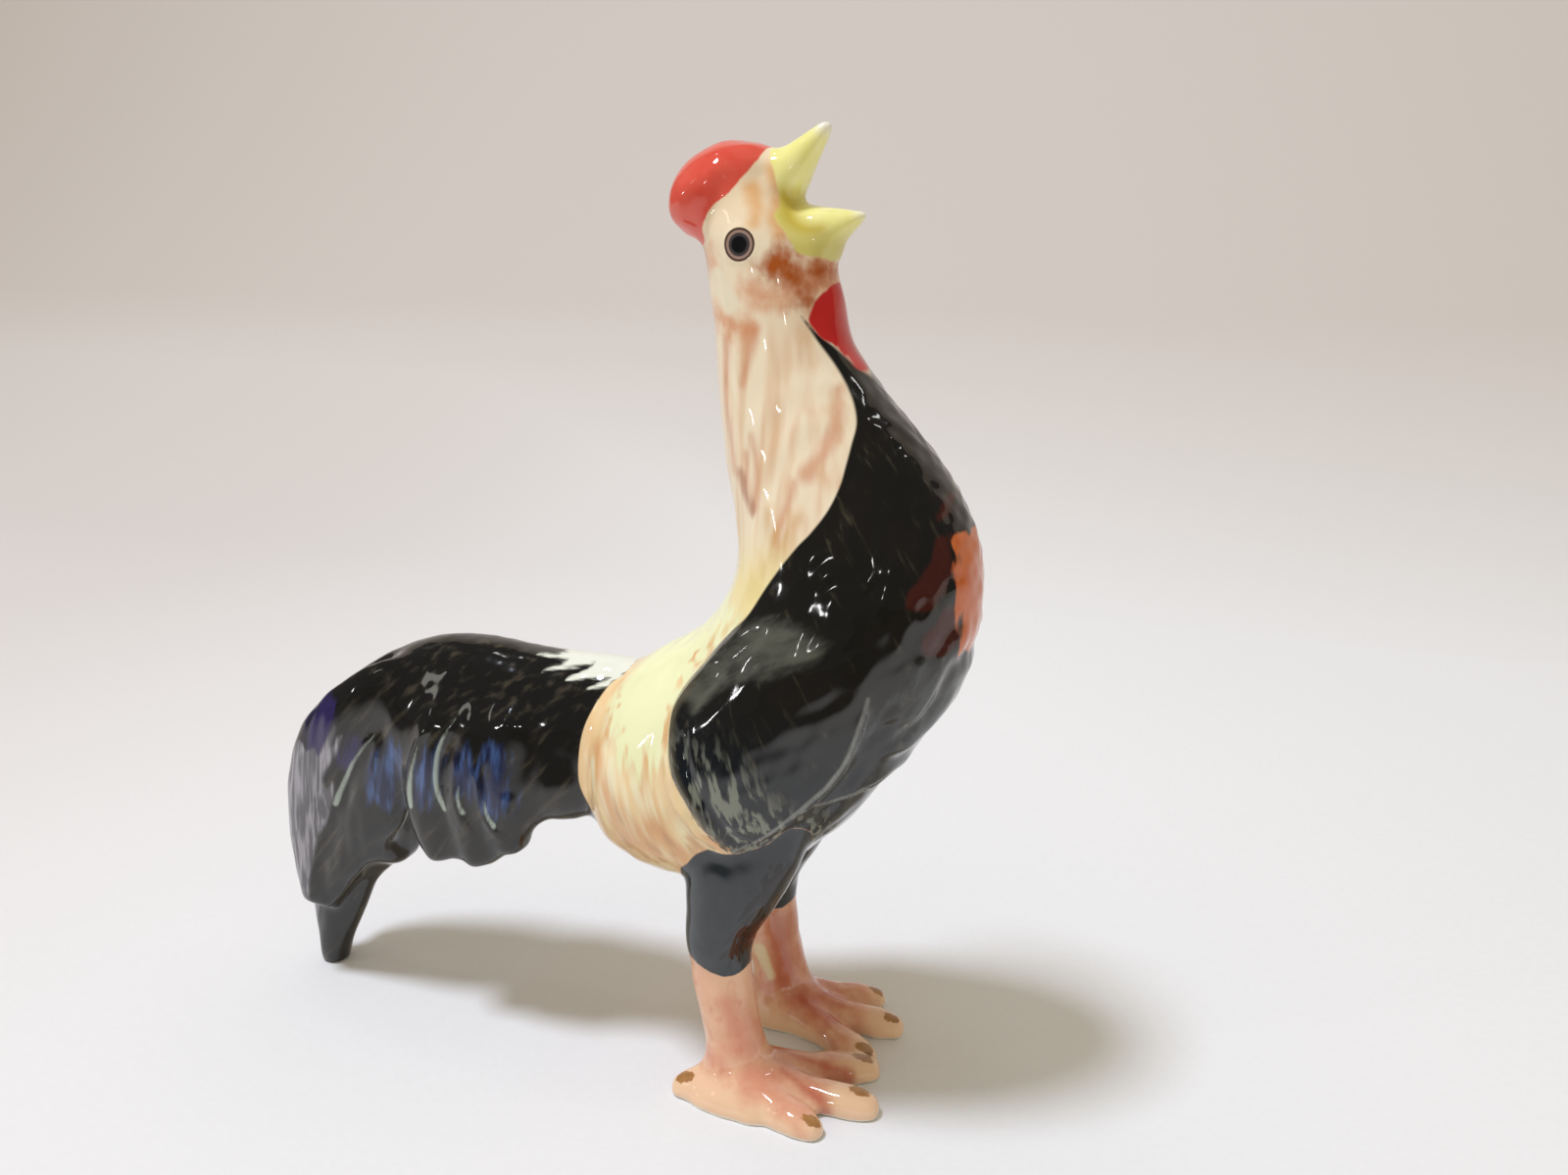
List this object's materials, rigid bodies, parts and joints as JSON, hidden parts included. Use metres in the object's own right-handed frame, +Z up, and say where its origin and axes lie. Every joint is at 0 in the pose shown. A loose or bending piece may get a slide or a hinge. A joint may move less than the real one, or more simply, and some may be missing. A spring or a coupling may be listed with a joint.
{
  "type": "rooster figurine",
  "caption": "Small glazed porcelain rooster figurine, crowing with a raised head, that stands on its feet and its long drooping tail",
  "frame": {"origin": "on the floor, under the middle of the figurine's bounding box", "axes": "+Z up, +X the way the bird faces, +Y to its left side"},
  "size_m": [0.0794, 0.027, 0.0951],
  "materials": {
    "black_breast_glaze": "glossy glaze",
    "yellow_saddle_glaze": "glossy glaze",
    "cream_neck_glaze": "glossy glaze",
    "face_glaze": "glossy glaze",
    "red_comb_glaze": "glossy glaze",
    "yellow_beak_glaze": "glossy glaze",
    "wing_glaze": "glossy glaze",
    "tail_glaze": "glossy glaze",
    "blue_tail_glaze": "glossy glaze",
    "thigh_glaze": "glossy glaze",
    "leg_glaze": "glossy glaze"
  },
  "bodies": {
    "root": {"breast": "black_breast_glaze", "saddle": "yellow_saddle_glaze", "neck": "cream_neck_glaze", "head": "face_glaze", "comb": "red_comb_glaze", "upper_beak": "yellow_beak_glaze", "lower_beak": "yellow_beak_glaze", "wattle": "red_comb_glaze", "tail_arch": "tail_glaze", "centre_sickle": "tail_glaze", "right_wing": "wing_glaze", "right_sickle": "blue_tail_glaze", "right_coverts": "blue_tail_glaze", "right_thigh": "thigh_glaze", "right_shank": "leg_glaze", "right_foot": "leg_glaze", "left_wing": "wing_glaze", "left_sickle": "blue_tail_glaze", "left_coverts": "blue_tail_glaze", "left_thigh": "thigh_glaze", "left_shank": "leg_glaze", "left_foot": "leg_glaze"}
  },
  "joints": []
}
